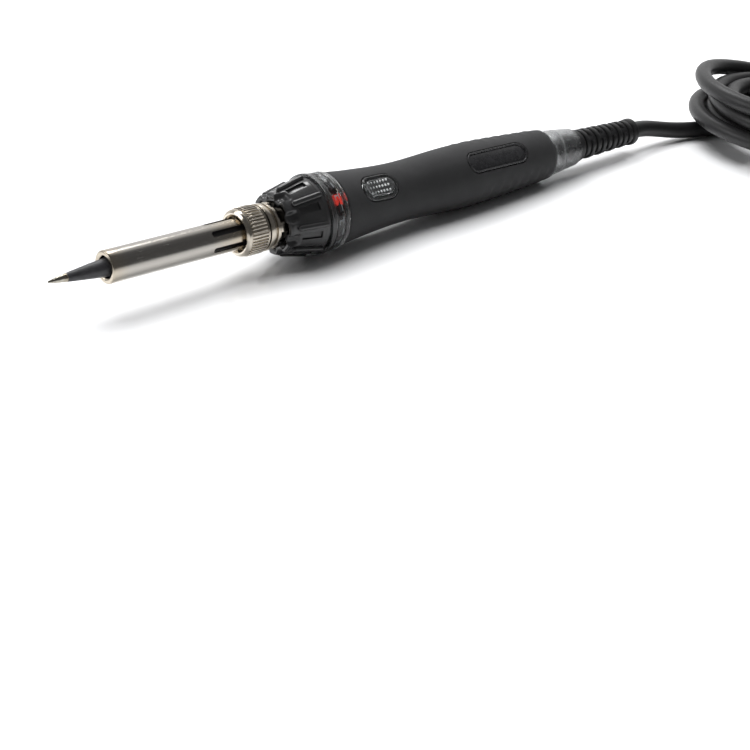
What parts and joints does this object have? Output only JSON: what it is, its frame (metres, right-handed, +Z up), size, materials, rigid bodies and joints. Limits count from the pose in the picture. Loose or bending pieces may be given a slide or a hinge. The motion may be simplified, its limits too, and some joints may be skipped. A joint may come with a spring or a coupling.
{
  "type": "soldering iron",
  "caption": "Pencil soldering iron with a conical tip in a slotted steel sleeve, a ribbed temperature knob behind a knurled nut, a clear dial ring, a rubber grip and a coiled mains lead.",
  "frame": {"origin": "middle of the iron without its lead, on the table that the iron lies on", "axes": "+X along the iron from the tip to the lead, level with the table; +Z up; the tip points to -X and the button and the windows face -Y and up"},
  "size_m": [0.3258, 0.0763, 0.0226],
  "materials": {
    "tip_plate": "satin black plate with a tinned point",
    "stainless": "polished stainless steel",
    "nickel": "bright nickel plate",
    "ceramic": "unglazed ceramic",
    "black_plastic": "glossy moulded black",
    "clear_plastic": "clear moulded polycarbonate",
    "red_lens": "red tinted lens",
    "grip_rubber": "matt soft rubber",
    "board": "green solder mask",
    "chip_black": "matt black moulding",
    "capacitor_film": "dipped red-brown coat",
    "cord_black": "satin black rubber"
  },
  "bodies": {
    "handle": {"threaded_nipple": "nickel", "ceramic_heater": "ceramic", "heater_base": "ceramic", "heater_spring": "stainless", "track_disc": "board", "indicator_led": "red_lens", "inner_housing": "clear_plastic", "tail_cap": "clear_plastic", "rubber_grip": "grip_rubber", "button_bezel": "clear_plastic", "label_window": "clear_plastic", "circuit_board": "board", "tact_switch": "chip_black", "triac": "chip_black", "control_chip": "chip_black", "film_capacitor": "capacitor_film", "board_resistor": "ceramic", "cord_clamp": "chip_black", "clamp_screw_1": "nickel", "clamp_screw_2": "nickel", "strain_relief": "cord_black", "lead_coil": "cord_black", "lead_tie": "cord_black", "lead_tube": "cord_black", "plug_lead": "cord_black", "plug_body": "cord_black", "plug_blade_1": "nickel", "plug_blade_2": "nickel"},
    "knob": {"temperature_knob": "black_plastic", "dial_ring": "clear_plastic", "wiper_ring": "nickel"},
    "sleeve": {"tip_sleeve": "stainless"},
    "tip": {"soldering_tip": "tip_plate"},
    "nut": {"knurled_nut": "nickel"},
    "button": {"push_button": "clear_plastic"}
  },
  "joints": [
    {"name": "knob_turn", "type": "hinge", "parent": "handle", "child": "knob", "pos_m": [-0.0333, 0, 0.01131], "axis": [0.9994, 0, -0.0332], "range_deg": [-135, 135]},
    {"name": "sleeve_pull", "type": "slide", "parent": "handle", "child": "sleeve", "axis": [-0.9994, 0, 0.0332], "range_m": [0, 0.06]},
    {"name": "tip_pull", "type": "slide", "parent": "handle", "child": "tip", "axis": [-0.9994, 0, 0.0332], "range_m": [0, 0.06]},
    {"name": "nut_turn", "type": "hinge", "parent": "sleeve", "child": "nut", "pos_m": [-0.04749, 0, 0.01178], "axis": [0.9994, 0, -0.0332], "continuous": true},
    {"name": "button_press", "type": "slide", "parent": "handle", "child": "button", "axis": [-0.0222, 0.7431, -0.6688], "range_m": [0, 0.0006], "stiffness_N_per_m": 2500, "springref_m": -0.0001}
  ],
  "couplings": [
    {"joint": "tip_pull", "follows": "sleeve_pull", "ratio": 1}
  ]
}
